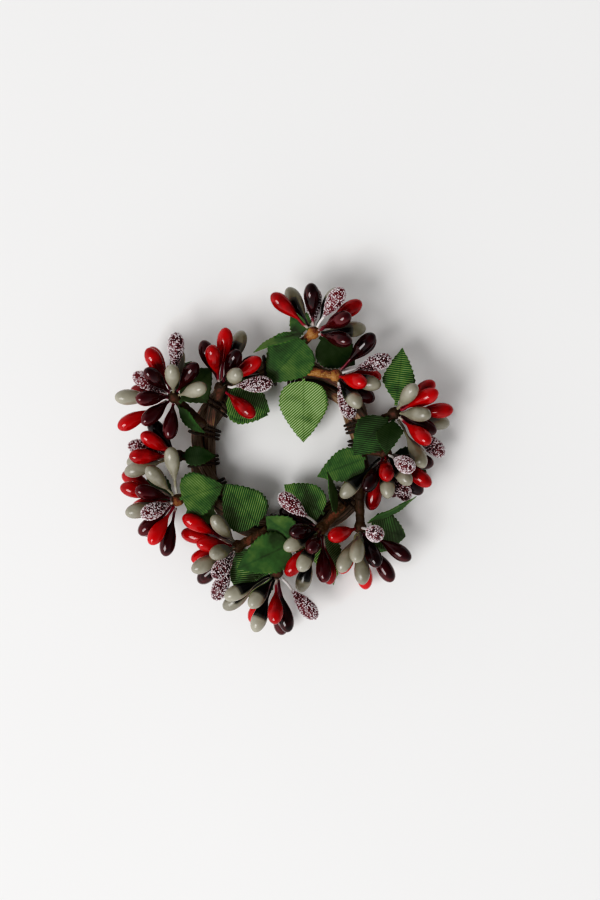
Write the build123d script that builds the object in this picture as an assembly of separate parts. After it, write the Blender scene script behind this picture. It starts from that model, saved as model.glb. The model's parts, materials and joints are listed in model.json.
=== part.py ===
from build123d import *

# Candle ring: a hoop of twisted vine that carries wired picks of lacquered pips and cloth leaves.
# Millimetres, +Z up. The origin is the middle of the hoop, on the surface that the ring rests on.

import math
import os
from dataclasses import dataclass
from itertools import pairwise

import numpy as np
from scipy.spatial import cKDTree

# Vine hoop
HOOP_RADIUS = 27.0
STRAND_DIAMETER = 4.0
STRAND_GAP = 0.3
STRAND_COUNT = 3
STRAND_TWISTS = 3
STRAND_LAP = 348.0

# Wire windings that hold the picks on the vine
WIRE_DIAMETER = 0.8
WINDING_TURNS = 2.5
WINDING_PITCH = 1.55
WINDING_CLEARANCE = 0.2
RESTING_FLAT = 0.5

# Taped stems
STEM_DIAMETER = 3.4
STEM_CLEARANCE = 0.2
KNOT_DIAMETER = 4.6

# Pips: a berry on its stalk
STALK_DIAMETER = 0.9
STALK_CLEARANCE = 0.25
SHORTEST_STALK = 0.4
BERRY_LENGTH = 12.4
BERRY_DIAMETER = 5.2
BERRY_WIDEST = 8.2
NECK_FULLNESS = 0.25
SWELL_FULLNESS = 0.5
TIP_FULLNESS = 0.55
FROSTED_DIAMETER = 5.8
FLOOR_CLEARANCE = 0.5
PIP_CLEARANCE = 0.4
PICK_LIFT = 12.0

# Leaves
LEAF_THICKNESS = 0.4
LEAF_CLEARANCE = 0.3
LEAF_WIDEST = 0.45
PETIOLE_LENGTH = 2.5
PETIOLE_WIDTH = 1.2

# How the pips and leaves settle clear of one another, as balls: places along a stalk, places along
# a berry with their share of its radius, and rows of balls along and across a leaf
STALK_BALLS = (0, 0.3, 0.6, 0.9)
BERRY_BALLS = ((0.13, 0.3), (0.27, 0.58), (0.44, 0.86), (0.6, 0.97), (0.7, 1.0), (0.8, 0.91), (0.88, 0.57))
STEM_BALLS = (0, 0.1, 0.2, 0.3, 0.4, 0.5, 0.6, 0.7, 0.8)
LEAF_BALL = 0.7
LEAF_ROWS = 11
LEAF_COLUMNS = 7
SETTLING_ROUNDS = 250
SETTLING_RATE = 0.8
SETTLED_SHARE = 0.3
SIDEWAYS_SHARE = 0.7

# Worked out from the driving dimensions
BUNDLE_LAY = (STRAND_DIAMETER + STRAND_GAP) / (2 * math.sin(math.pi / STRAND_COUNT))
BUNDLE_RADIUS = BUNDLE_LAY + STRAND_DIAMETER / 2
WINDING_LAY = BUNDLE_RADIUS + WINDING_CLEARANCE + WIRE_DIAMETER / 2
HOOP_HEIGHT = WINDING_LAY + WIRE_DIAMETER / 2 - RESTING_FLAT
STEM_RADIUS = STEM_DIAMETER / 2
FOOT_HEIGHT = HOOP_HEIGHT + WINDING_LAY + WIRE_DIAMETER / 2 + STEM_CLEARANCE + STEM_RADIUS
KNOT_RADIUS = KNOT_DIAMETER / 2
STALK_START = KNOT_RADIUS + STALK_CLEARANCE

RED, BURGUNDY, SAGE, FROSTED = "red", "burgundy", "sage", "frosted"


@dataclass(frozen=True)
class Leaf:
    """A cloth leaf, rooted on the stem between its foot (0) and its knot (1)."""

    along: float
    heading: float
    pitch: float
    length: float
    width: float
    curl: float
    roll: float = 0.0
    on_top: bool = False


@dataclass(frozen=True)
class Pick:
    """A taped stem from its foot on the vine, with its knot's place from there, its pips and its leaves.

    A pip is its finish, its heading, how far from the knot its stalk reaches, seen from above, and its rise.
    """

    stem: tuple
    foot_angle: float
    pips: tuple
    leaves: tuple


PICKS = (
    Pick(
        (12.8, 11.6, 3.6),
        96,
        (
            (RED, 136, 6.5, 12),
            (SAGE, 119, 5, -8),
            (BURGUNDY, 93, 4.5, 26),
            (FROSTED, 84, 3, -10),
            (SAGE, 65, 4.5, -2),
            (FROSTED, 49, 6, 26),
            (BURGUNDY, 29, 4, 38),
            (RED, 20, 6.5, 4),
            (BURGUNDY, -6, 3, 42),
            (SAGE, -2, 5, -2),
        ),
        (
            Leaf(1, -34, -14, 17.5, 13.5, 15),
            Leaf(1, 184, 16, 18, 7, 30, 65),
            Leaf(1, 142, -42, 12, 8, 10),
            Leaf(0.8, 228, -1, 19.5, 16, 20, 0, True),
        ),
    ),
    Pick(
        (11.6, -1.8, 2.1),
        78,
        (
            (BURGUNDY, 41, 6.5, 12),
            (BURGUNDY, 51, 6.5, -9),
            (FROSTED, 16, 7, 16),
            (SAGE, -3, 3.5, 16),
            (RED, -7, 3.5, -8),
            (RED, -19, 2.5, 38),
            (BURGUNDY, -28, 3, 6),
            (SAGE, -47, 2.5, 18),
            (FROSTED, -60, 2.5, -6),
        ),
        (Leaf(0.1, -90, -8, 22, 15.5, 12),),
    ),
    Pick(
        (10.4, 5.5, 2.6),
        14,
        (
            (RED, 42, 4.5, 2),
            (SAGE, 52, 2.5, 46),
            (RED, 21, 4.5, 25),
            (RED, 1, 7, 2),
            (SAGE, -13, 2.5, 33),
            (SAGE, -22, 8, -14),
            (BURGUNDY, -31, 2.5, 10),
            (RED, -50, 6, 22),
            (SAGE, -68, 8.5, 6),
            (FROSTED, -44, 9.5, -10),
        ),
        (
            Leaf(1, 79, 10, 19.5, 10.5, 20),
            Leaf(0.8, -131, 12, 17.5, 13, 35, 0, True),
            Leaf(1, -100, 46, 15, 9, 35, 25),
        ),
    ),
    Pick(
        (6.7, -1.0, 1.6),
        0,
        (
            (SAGE, -134, 8.5, 12),
            (BURGUNDY, -118, 4.5, 26),
            (RED, -97, 2.5, 46),
            (RED, -104, 7.5, -14),
            (FROSTED, -28, 2.5, 66),
            (SAGE, -78, 3.5, 24),
            (SAGE, -57, 2.5, 32),
            (RED, -28, 6, 4),
            (BURGUNDY, -83, 5, -8),
            (FROSTED, -66, 5, 2),
            (BURGUNDY, -50, 7, -6),
            (BURGUNDY, -16, 4.5, -14),
        ),
        (
            Leaf(0.6, -152, 0, 17.5, 10.5, 10),
            Leaf(1, -24, -42, 18, 11, 10),
        ),
    ),
    Pick(
        (0.2, -15.7, 1.6),
        339,
        (
            (RED, -161, 2.5, 33),
            (SAGE, -115, 4.5, 16),
            (SAGE, -95, 2.5, 46),
            (SAGE, -90, 6.5, 10),
            (RED, -110, 4.5, -10),
            (RED, -93, 10, -12),
            (FROSTED, -18, 2.5, 76),
            (BURGUNDY, -69, 3, 31),
            (BURGUNDY, -64, 8.5, 2),
            (BURGUNDY, -29, 7.5, 5),
        ),
        (
            Leaf(1, -3, 8, 17, 11.5, 45),
            Leaf(1, 27, 12, 19, 7, 15, 72),
            Leaf(1, -40, -42, 16, 10, 10),
        ),
    ),
    Pick(
        (-7.2, -7.7, 2.1),
        318,
        (
            (FROSTED, 151, 6.5, 8),
            (BURGUNDY, -167, 2.5, 56),
            (BURGUNDY, -178, 2.5, -4),
            (SAGE, -153, 2.5, 16),
            (RED, -127, 7, 8),
            (SAGE, -113, 5, 32),
            (SAGE, -115, 11, -15),
            (RED, -96, 6.5, -2),
            (BURGUNDY, -90, 6, 20),
            (BURGUNDY, -98, 2.5, 55),
        ),
        (
            Leaf(0.5, 166, -3, 18, 12.5, 15),
            Leaf(0.35, 88, 25, 15, 7, 15, 72, True),
            Leaf(1, -80, -36, 20, 9, 8),
            Leaf(1, -130, -44, 17, 8, 8),
        ),
    ),
    Pick(
        (-6.7, -13.7, 1.6),
        280,
        (
            (SAGE, -158, 7, 14),
            (SAGE, -124, 3.5, 34),
            (SAGE, -139, 9.5, 0),
            (SAGE, -116, 8.5, 4),
            (RED, -126, 7.5, -18),
            (RED, -98, 7, 16),
            (BURGUNDY, -75, 7.5, 11),
            (BURGUNDY, -88, 10, -10),
            (FROSTED, -52, 7.5, 6),
        ),
        (
            Leaf(0.3, 199, 14, 20, 13, 30, 0, True),
            Leaf(0.15, 150, 14, 12, 10, 35, 0, True),
            Leaf(1, -150, -40, 18, 10, 8),
        ),
    ),
    Pick(
        (-9.7, -5.2, 1.6),
        259,
        (
            (RED, 160, 8.5, 6),
            (RED, 178, 7.5, -6),
            (RED, 175, 2.5, 34),
            (SAGE, 136, 2.5, 26),
            (SAGE, -165, 2.5, 50),
            (RED, -164, 4, -2),
            (SAGE, -149, 5, 16),
            (FROSTED, -119, 2.5, 33),
            (BURGUNDY, -137, 7.5, -8),
            (FROSTED, -114, 7, -10),
            (BURGUNDY, 150, 6, -15),
        ),
        (
            Leaf(0.1, 133, 4, 18.5, 15, 15),
            Leaf(0.4, -112, -14, 16, 12, 10),
        ),
    ),
    Pick(
        (-10.2, -5.1, 1.6),
        205,
        (
            (SAGE, 112, 7, 20),
            (SAGE, 143, 5, 18),
            (BURGUNDY, 161, 3.5, 20),
            (RED, 161, 7, 0),
            (RED, 158, 9.5, -19),
            (RED, 178, 3.5, -12),
            (FROSTED, -177, 3, 32),
            (SAGE, -174, 5.5, 6),
            (BURGUNDY, -157, 4.5, 8),
            (BURGUNDY, -138, 6, -14),
            (RED, -127, 6, 10),
            (BURGUNDY, -102, 6.5, 6),
        ),
        (
            Leaf(0.92, 21, 14, 15.5, 14, 40, 0, True),
            Leaf(1, -29, -6, 12, 10, 15),
            Leaf(1, 160, -44, 17, 11, 8),
        ),
    ),
    Pick(
        (-7.6, -0.1, 1.6),
        184,
        (
            (RED, 148, 2.5, 28),
            (SAGE, 152, 3.5, -12),
            (FROSTED, 174, 4.5, -4),
            (RED, -174, 4.5, 16),
            (SAGE, -168, 7, -10),
            (SAGE, -158, 6, 4),
            (BURGUNDY, 132, 2.5, 2),
        ),
        (Leaf(0.8, -4, 16, 11.5, 6, 40, 0, True),),
    ),
    Pick(
        (-10.0, 9.5, 3.1),
        163,
        (
            (RED, 117, 6, 14),
            (BURGUNDY, 134, 3, 40),
            (FROSTED, 153, 2.5, 8),
            (SAGE, -179, 7, 6),
            (RED, 168, 3, -12),
            (BURGUNDY, -174, 2.5, 44),
            (RED, -156, 8.5, 8),
            (BURGUNDY, -129, 2.5, 24),
            (BURGUNDY, -101, 2.5, 20),
            (RED, 99, 6.5, -8),
            (FROSTED, 87, 9, 12),
            (SAGE, 69, 2.5, 44),
            (BURGUNDY, 47, 3, 32),
            (SAGE, 22, 3, 34),
            (SAGE, 72, 4.5, -10),
        ),
        (
            Leaf(0.8, 31, -14, 18, 12.5, 10, 0, True),
            Leaf(1, -64, 28, 14, 6, 40, 60),
            Leaf(1, 68, -42, 17, 11, 8),
        ),
    ),
    Pick(
        (0.8, 4.0, 2.1),
        142,
        (
            (RED, 114, 4, 40),
            (BURGUNDY, 95, 4, 14),
            (RED, 76, 7.5, 14),
            (BURGUNDY, 62, 3.5, 38),
            (SAGE, 55, 8, 5),
            (RED, 34, 4.5, 24),
            (BURGUNDY, 42, 3.5, -8),
            (FROSTED, 9, 5, 18),
            (SAGE, 40, 2.5, 60),
            (RED, -40, 3.5, 18),
        ),
        (
            Leaf(0, -17, -4, 15, 11, 10),
            Leaf(1, -22, 2, 16, 13.5, 15),
        ),
    ),
)


def unit(vector):
    """The vector at a length of one."""
    return np.asarray(vector, float) / np.linalg.norm(vector)


def bearing(heading, pitch=0.0):
    """The direction at a heading from +X and a pitch above the table, in degrees."""
    h, p = math.radians(heading), math.radians(pitch)
    return np.array([math.cos(p) * math.cos(h), math.cos(p) * math.sin(h), math.sin(p)])


def turn(axis, angle):
    """The matrix that turns a vector about an axis by an angle in radians."""
    x, y, z = axis
    cross = np.array([[0, -z, y], [z, 0, -x], [-y, x, 0]])
    return np.eye(3) + math.sin(angle) * cross + (1 - math.cos(angle)) * cross @ cross


def around_hoop(hoop_angle, lay_angle, lay):
    """The point at a distance from the hoop's centre line, with both angles in degrees."""
    h, u = math.radians(hoop_angle), math.radians(lay_angle)
    reach = HOOP_RADIUS + lay * math.cos(u)
    return np.array([reach * math.cos(h), reach * math.sin(h), HOOP_HEIGHT + lay * math.sin(u)])


def foot_of(pick):
    """Where the stem's end lies on the vine."""
    return np.append(HOOP_RADIUS * bearing(pick.foot_angle)[:2], FOOT_HEIGHT)


def knot_of(pick):
    """The middle of the binding knot, which the pips and most leaves spring from."""
    return foot_of(pick) + pick.stem


def lift_axis(pick):
    """The level axis through the knot about which the spray bends up."""
    spread = unit(sum(bearing(heading) for _, heading, _, _ in pick.pips))
    return np.array([spread[1], -spread[0], 0.0])


def wound_path(route, start, end, spans):
    """A wire of tangent arcs, two to a span, along a route that gives a point for each parameter."""
    step = (end - start) / spans / 100
    stops = np.linspace(start, end, spans + 1)
    points = [route(s) for s in stops]
    ways = [unit(route(s + step) - route(s - step)) for s in stops]
    arcs = []
    for (p, q), (t, u) in zip(pairwise(points), pairwise(ways)):
        chord = q - p
        a = 2 * (t @ u - 1)
        b = -2 * chord @ (t + u)
        reach = (-b - math.sqrt(b * b - 4 * a * (chord @ chord))) / (2 * a)
        corner, other = p + reach * t, q - reach * u
        middle = (corner + other) / 2
        arcs.append(TangentArc(tuple(p), tuple(middle), tangent=tuple(t)))
        arcs.append(TangentArc(tuple(middle), tuple(q), tangent=tuple(unit(other - corner))))
    return Wire(arcs)


def tube(path, diameter):
    """A round tube along a path."""
    section = Plane(path @ 0, z_dir=path % 0) * Circle(diameter / 2)
    return sweep(section, path=path)


def vine_strand(index):
    """One strand of the bundle, with its two cut ends apart."""
    first = 360 / STRAND_COUNT * index

    def route(angle):
        return around_hoop(first + angle, first + STRAND_TWISTS * angle, BUNDLE_LAY)

    quarter_turns = round(STRAND_TWISTS * STRAND_LAP / 90)
    return tube(wound_path(route, 0, STRAND_LAP, quarter_turns), STRAND_DIAMETER)


def winding_route(pick):
    """The route of the wire tail round the vine, by its angle, from under the stem's foot."""
    advance = math.degrees(WINDING_PITCH / HOOP_RADIUS) / 360
    return lambda angle: around_hoop(pick.foot_angle + advance * angle, 90 + angle, WINDING_LAY)


def wire_winding(pick):
    """The wire tail, cut flat where it rests on the table."""
    quarter_turns = round(4 * WINDING_TURNS)
    path = wound_path(winding_route(pick), 0, 90 * quarter_turns, quarter_turns)
    size = 4 * HOOP_RADIUS
    return tube(path, WIRE_DIAMETER) - Pos(0, 0, -size / 2) * Box(size, size, size)


def winding_gap():
    """The least gap between two turns of a winding, measured on points."""
    route = winding_route(PICKS[0])
    angles = np.arange(0, 720, 6)
    points = np.array([route(angle) for angle in angles])
    apart = np.linalg.norm(points[:, None] - points[None], axis=2)
    next_turn = np.abs(angles[:, None] - angles[None]) > 180
    return apart[next_turn].min() - WIRE_DIAMETER


def taped_stem(pick):
    """The taped bundle of wires from the vine up to the binding knot, turned about its own axis."""
    foot, knot = foot_of(pick), knot_of(pick)
    length = float(np.linalg.norm(knot - foot))
    shoulder = length - math.sqrt(KNOT_RADIUS**2 - STEM_RADIUS**2)
    top = length + KNOT_RADIUS
    edges = [
        Line((0, 0, 0), (STEM_RADIUS, 0, 0)),
        Line((STEM_RADIUS, 0, 0), (STEM_RADIUS, 0, shoulder)),
        ThreePointArc((STEM_RADIUS, 0, shoulder), (KNOT_RADIUS, 0, length), (0, 0, top)),
        Line((0, 0, top), (0, 0, 0)),
    ]
    place = Plane(tuple(foot), z_dir=tuple(unit(knot - foot))).location
    return place * revolve(make_face(edges), Axis.Z)


def berry_diameter(finish):
    """The widest diameter of a berry, with its grains where it has them."""
    return FROSTED_DIAMETER if finish == FROSTED else BERRY_DIAMETER


def pip_solid(finish, length):
    """A pip along +Z: a stalk, a neck that swells, and a rounded berry."""
    slim, wide = STALK_DIAMETER / 2, berry_diameter(finish) / 2
    neck = length - BERRY_LENGTH
    widest = neck + BERRY_WIDEST
    swell = (
        (slim, 0, neck),
        (slim, 0, neck + NECK_FULLNESS * BERRY_WIDEST),
        (wide, 0, widest - SWELL_FULLNESS * BERRY_WIDEST),
        (wide, 0, widest),
    )
    tip = (
        (wide, 0, widest),
        (wide, 0, widest + TIP_FULLNESS * (length - widest)),
        (TIP_FULLNESS * wide, 0, length),
        (0, 0, length),
    )
    edges = [
        Line((0, 0, STALK_START), (slim, 0, STALK_START)),
        Line((slim, 0, STALK_START), (slim, 0, neck)),
        Bezier(*swell),
        Bezier(*tip),
        Line((0, 0, length), (0, 0, STALK_START)),
    ]
    return revolve(make_face(edges), Axis.Z)


def leaf_blade(leaf):
    """A leaf along +X from its root, curled down about a level axis."""
    radius = leaf.length / math.radians(leaf.curl)
    reach = radius * math.sin(math.radians(leaf.curl))
    drop = radius - math.sqrt(radius**2 - reach**2)
    slim, wide = PETIOLE_WIDTH / 2, leaf.width / 2
    widest = PETIOLE_LENGTH + LEAF_WIDEST * (reach - PETIOLE_LENGTH)
    edges = [
        Line((0, -slim), (0, slim)),
        Line((0, slim), (PETIOLE_LENGTH, slim)),
        ThreePointArc((PETIOLE_LENGTH, slim), (widest, wide), (reach, 0)),
        ThreePointArc((reach, 0), (widest, -wide), (PETIOLE_LENGTH, -slim)),
        Line((PETIOLE_LENGTH, -slim), (0, -slim)),
    ]
    height = drop + 2 * LEAF_THICKNESS
    prism = Pos(0, 0, LEAF_THICKNESS - height) * extrude(make_face(edges), height)
    lying = Rot(90, 0, 0)
    outer = lying * Cylinder(radius + LEAF_THICKNESS / 2, 2 * leaf.width)
    inner = lying * Cylinder(radius - LEAF_THICKNESS / 2, 2 * leaf.width)
    return prism & (Pos(0, 0, -radius) * (outer - inner))


def leaf_axes(leaf):
    """The leaf's length, width and normal directions before it settles, as the columns of a matrix."""
    ahead = bearing(leaf.heading, leaf.pitch)
    across = bearing(leaf.heading + 90)
    up = np.cross(ahead, across)
    rolled = turn(ahead, math.radians(leaf.roll))
    return np.column_stack([ahead, rolled @ across, rolled @ up])


def leaf_root(pick, leaf):
    """Where the leaf springs from: the knot, or the top or the side of the stem."""
    foot, knot = foot_of(pick), knot_of(pick)
    stand = STEM_RADIUS + LEAF_CLEARANCE + PETIOLE_WIDTH / 2
    if leaf.along == 1:
        ahead, back = bearing(leaf.heading, leaf.pitch), unit(foot - knot)
        beside = np.linalg.norm(np.cross(ahead, back)) if ahead @ back > 0 else 1.0
        return knot + max(KNOT_RADIUS + LEAF_CLEARANCE, stand / beside) * ahead
    place = foot + leaf.along * (knot - foot)
    if leaf.on_top:
        return place + np.array([0, 0, stand])
    ahead = bearing(leaf.heading)
    sideways = np.linalg.norm(np.cross(ahead, unit(knot - foot))) if leaf.along > 0 else 1.0
    return place + stand / sideways * ahead


@dataclass
class Item:
    """A pip or a leaf as balls about its pivot, which it turns about while it settles."""

    pick: int
    moves: bool
    pivot: np.ndarray
    offsets: np.ndarray
    radii: np.ndarray
    turned: np.ndarray


def pip_item(index, finish, heading, reach, rise):
    """A pip's balls, thin ones down the stalk and wide ones that fill the berry, and its length."""
    neck = max(reach / math.cos(math.radians(rise)), STALK_START + SHORTEST_STALK)
    length = neck + BERRY_LENGTH
    wide = berry_diameter(finish) / 2
    slim = STALK_DIAMETER / 2
    stalk = [(STALK_START + share * (neck - STALK_START), slim) for share in STALK_BALLS]
    berry = [(neck + share * BERRY_LENGTH, wide * part) for share, part in BERRY_BALLS]
    places = np.array(stalk + berry)
    offsets = places[:, :1] * bearing(heading, rise)
    knot = knot_of(PICKS[index])
    return Item(index, True, knot, offsets, places[:, 1], np.eye(3)), length


def leaf_item(index, leaf):
    """A leaf's balls, spread over its blade, with one on its petiole."""
    radius = leaf.length / math.radians(leaf.curl)
    start = PETIOLE_LENGTH / leaf.length
    widest = start + LEAF_WIDEST * (1 - start)
    rows = [(PETIOLE_WIDTH / 2, 0, 0)]
    for share in np.linspace(start, 1, LEAF_ROWS):
        bend = share * math.radians(leaf.curl)
        span = 1 - widest if share > widest else widest - start
        spread = leaf.width / 2 * (1 - ((share - widest) / span) ** 2)
        for side in np.linspace(-1, 1, LEAF_COLUMNS):
            rows.append((radius * math.sin(bend), side * spread, radius * (math.cos(bend) - 1)))
    offsets = np.array(rows) @ leaf_axes(leaf).T
    ball = np.full(len(rows), LEAF_BALL)
    return Item(index, False, leaf_root(PICKS[index], leaf), offsets, ball, np.eye(3))


def standing_balls():
    """Balls that fill the stems and knots, and the number of the pick that each belongs to."""
    balls, own = [], []
    for index, pick in enumerate(PICKS):
        foot, knot = foot_of(pick), knot_of(pick)
        balls += [(*(foot + share * (knot - foot)), STEM_RADIUS) for share in STEM_BALLS]
        balls.append((*knot, KNOT_RADIUS))
        own += [index] * (len(STEM_BALLS) + 1)
    return np.array(balls), np.array(own)


def hoop_overlap(centres, radii):
    """How deep balls reach into the vine and its windings, and the way out."""
    out = unit_rows(centres * (1, 1, 0))
    from_hoop = centres - HOOP_RADIUS * out - (0, 0, HOOP_HEIGHT)
    apart = np.linalg.norm(from_hoop, axis=1)
    depth = WINDING_LAY + WIRE_DIAMETER / 2 + PIP_CLEARANCE + radii - apart
    return np.maximum(depth, 0.0), from_hoop / apart[:, None]


def unit_rows(rows):
    """Each row at a length of one."""
    return rows / np.linalg.norm(rows, axis=1)[:, None]


class Settling:
    """The balls of the standing pieces, then of every item as it lies and, for a pip, lifted."""

    def __init__(self, items):
        standing, standing_own = standing_balls()
        self.items = items
        self.standing = standing[:, :3]
        self.still = len(standing)
        self.lifts = [turn(lift_axis(pick), math.radians(PICK_LIFT)) for pick in PICKS]
        self.placed = [(n, lifted) for n, item in enumerate(items) for lifted in range(1 + item.moves)]
        counts = [len(items[n].radii) for n, _ in self.placed]
        self.owner = np.repeat([n for n, _ in self.placed], counts)
        self.pick = np.array([item.pick for item in items])[self.owner]
        self.lifted = np.repeat([up for _, up in self.placed], counts) == 1
        self.pivots = np.array([item.pivot for item in items])[self.owner]
        self.radii = np.concatenate([items[n].radii for n, _ in self.placed])

        # The same, with the standing balls first
        moves = np.array([item.moves for item in items])[self.owner]
        is_root = np.concatenate([np.arange(count) == 0 for count in counts])
        none = np.full(self.still, -1)
        self.own = np.concatenate([standing_own, self.pick])
        self.number = np.concatenate([none, self.owner])
        self.spray = np.concatenate([none, np.where(moves, self.pick, -1)])
        self.raised = np.concatenate([none > 0, self.lifted])
        self.at_knot = np.concatenate([standing[:, 3] == KNOT_RADIUS, is_root])
        self.sizes = np.concatenate([standing[:, 3], self.radii])

    def arms(self):
        """Each ball's place from its item's pivot."""
        arms = []
        for n, lifted in self.placed:
            item = self.items[n]
            lying = item.offsets @ item.turned.T
            arms.append(lying @ self.lifts[item.pick].T if lifted else lying)
        return np.concatenate(arms)

    def contacts(self, centres):
        """Pairs of balls that are too close, with how deep and the push that parts them."""
        reach = 2 * self.radii.max() + PIP_CLEARANCE
        first, second = cKDTree(centres).query_pairs(reach, output_type="ndarray").T
        same_spray = (self.spray[first] >= 0) & (self.spray[first] == self.spray[second])
        same_pick = (first < self.still) & (self.own[first] == self.own[second])
        meets = self.number[first] != self.number[second]
        meets &= ~(same_spray & (self.raised[first] != self.raised[second]))
        meets &= ~(same_pick & (self.at_knot[first] | self.at_knot[second]))
        first, second = first[meets], second[meets]
        between = centres[first] - centres[second]
        apart = np.linalg.norm(between, axis=1)
        depth = self.sizes[first] + self.sizes[second] + PIP_CLEARANCE - apart
        hit = depth > 0
        return first[hit], second[hit], depth[hit], (depth / apart)[hit][:, None] * between[hit]

    def turn_items(self, arms, push):
        """Turns each item about its pivot by the mean of the pushes on its balls."""
        torque = SETTLING_RATE * np.cross(arms, push)
        for index, lift in enumerate(self.lifts):
            rows = self.lifted & (self.pick == index)
            torque[rows] = torque[rows] @ lift
        pushed = (push**2).any(axis=1)
        loads = np.bincount(self.owner, (arms**2).sum(axis=1) * pushed, len(self.items))
        spins = [np.bincount(self.owner, part, len(self.items)) for part in torque.T]
        for item, spin, load in zip(self.items, np.transpose(spins), loads):
            angle = np.linalg.norm(spin) / max(load, 1.0)
            if angle > 0:
                item.turned = turn(unit(spin), angle) @ item.turned

    def settle(self):
        """Turns the items until they clear one another, and gives the deepest overlap left."""
        for _ in range(SETTLING_ROUNDS):
            arms = self.arms()
            moving = self.pivots + arms
            first, second, depth, shove = self.contacts(np.concatenate([self.standing, moving]))
            sink, out = hoop_overlap(moving, self.radii)
            low = np.maximum(FLOOR_CLEARANCE + self.radii - moving[:, 2], 0.0)
            deepest = max(depth.max(initial=0.0), sink.max(), low.max())
            if deepest < SETTLED_SHARE * PIP_CLEARANCE:
                break
            push = sink[:, None] * out
            push[:, 2] += low
            both = first >= self.still
            np.add.at(push, second - self.still, -shove / (1 + both)[:, None])
            np.add.at(push, first[both] - self.still, shove[both] / 2)
            push[:, :2] *= SIDEWAYS_SHARE
            self.turn_items(arms, push)
        return deepest - PIP_CLEARANCE


def quarter(pick):
    """The side of the ring that the pick is on."""
    x, y, _ = knot_of(pick)
    if abs(y) > abs(x):
        return "back" if y > 0 else "front"
    return "right" if x > 0 else "left"


def write(name, solids):
    """Writes one node."""
    export_step(Compound(children=[Solid(s.solid().wrapped) for s in solids]), f"parts/{name}.step")


def main():
    """Settles the pips and leaves, then writes every node."""
    os.makedirs("parts", exist_ok=True)
    pips = [(k, *pip) for k, pick in enumerate(PICKS) for pip in pick.pips]
    leaves = [(k, leaf) for k, pick in enumerate(PICKS) for leaf in pick.leaves]
    pip_items = [pip_item(*pip) for pip in pips]
    items = [item for item, _ in pip_items] + [leaf_item(*leaf) for leaf in leaves]
    print(f"deepest overlap left after settling: {Settling(items).settle():.2f} mm")
    print(f"least gap between turns of a winding: {winding_gap():.2f} mm")

    nodes = {f"vine_strand_{n + 1}": [vine_strand(n)] for n in range(STRAND_COUNT)}
    nodes["wire_windings"] = [wire_winding(pick) for pick in PICKS]
    nodes["taped_stems"] = [taped_stem(pick) for pick in PICKS]
    for (k, finish, *_), (item, length) in zip(pips, pip_items):
        along = item.turned @ unit(item.offsets[-1])
        placed = Plane(tuple(item.pivot), z_dir=tuple(along)).location * pip_solid(finish, length)
        nodes.setdefault(f"pick_{k + 1:02d}_{finish}_pips", []).append(placed)
    for (k, leaf), item in zip(leaves, items[len(pips):]):
        axes = item.turned @ leaf_axes(leaf)
        frame = Plane(tuple(item.pivot), x_dir=tuple(axes[:, 0]), z_dir=tuple(axes[:, 2]))
        nodes.setdefault(f"leaves_{quarter(PICKS[k])}", []).append(frame.location * leaf_blade(leaf))
    for name, solids in nodes.items():
        write(name, solids)


if __name__ == "__main__":
    main()
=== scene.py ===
"""Candle ring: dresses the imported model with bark, paper tape, ribbed cloth and lacquered pips.

Pieces are shaped in millimetres in the row's frame, and each mesh is scaled to metres once, at its end.
"""

from __future__ import annotations

import json
import logging
import math
import random
from collections.abc import Callable
from dataclasses import dataclass, field
from enum import Enum
from typing import Any

import bmesh
import bpy
import numpy as np
from mathutils import Matrix, Vector, noise
from mathutils.geometry import interpolate_bezier, intersect_point_line

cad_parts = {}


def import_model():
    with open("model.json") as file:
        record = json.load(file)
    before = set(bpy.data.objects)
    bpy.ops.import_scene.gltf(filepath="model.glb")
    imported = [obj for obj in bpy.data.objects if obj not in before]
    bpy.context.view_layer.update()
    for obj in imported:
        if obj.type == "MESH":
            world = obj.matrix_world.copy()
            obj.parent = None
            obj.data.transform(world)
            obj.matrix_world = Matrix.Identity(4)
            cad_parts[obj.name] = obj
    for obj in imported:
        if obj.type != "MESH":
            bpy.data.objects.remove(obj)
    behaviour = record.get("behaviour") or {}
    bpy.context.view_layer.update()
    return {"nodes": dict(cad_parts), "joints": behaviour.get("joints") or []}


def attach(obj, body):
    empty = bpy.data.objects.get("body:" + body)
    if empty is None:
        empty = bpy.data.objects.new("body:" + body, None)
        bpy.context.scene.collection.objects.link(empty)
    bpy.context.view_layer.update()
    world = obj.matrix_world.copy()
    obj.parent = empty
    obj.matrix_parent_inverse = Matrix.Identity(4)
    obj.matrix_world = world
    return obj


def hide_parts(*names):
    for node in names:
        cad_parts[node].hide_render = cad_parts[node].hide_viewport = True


Tree = bpy.types.NodeTree
Socket = bpy.types.NodeSocket
# The foot and the knot of a taped stem, in millimetres
Stem = tuple[Vector, Vector]
LOG = logging.getLogger("candle_ring")
MM = 0.001


def linear(code: str) -> tuple[float, float, float, float]:
    """Turns an sRGB hex value into linear colour.

    Args:
        code: Six hex digits, with or without a leading hash.

    Returns:
        Red, green, blue and an alpha of one.
    """
    digits = code.lstrip("#")
    parts = [int(digits[place : place + 2], 16) / 255 for place in (0, 2, 4)]
    red, green, blue = (c / 12.92 if c <= 0.04045 else ((c + 0.055) / 1.055) ** 2.4 for c in parts)
    return red, green, blue, 1.0


def per_metre(size: float) -> float:
    """Gives the texture scale at which a pattern repeats about every size millimetres."""
    return 1 / (size * MM)


def smooth_step(low: float, high: float, value: float) -> float:
    """Eases from 0 at low to 1 at high."""
    share = min(max((value - low) / (high - low), 0.0), 1.0)
    return share * share * (3 - 2 * share)


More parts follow.
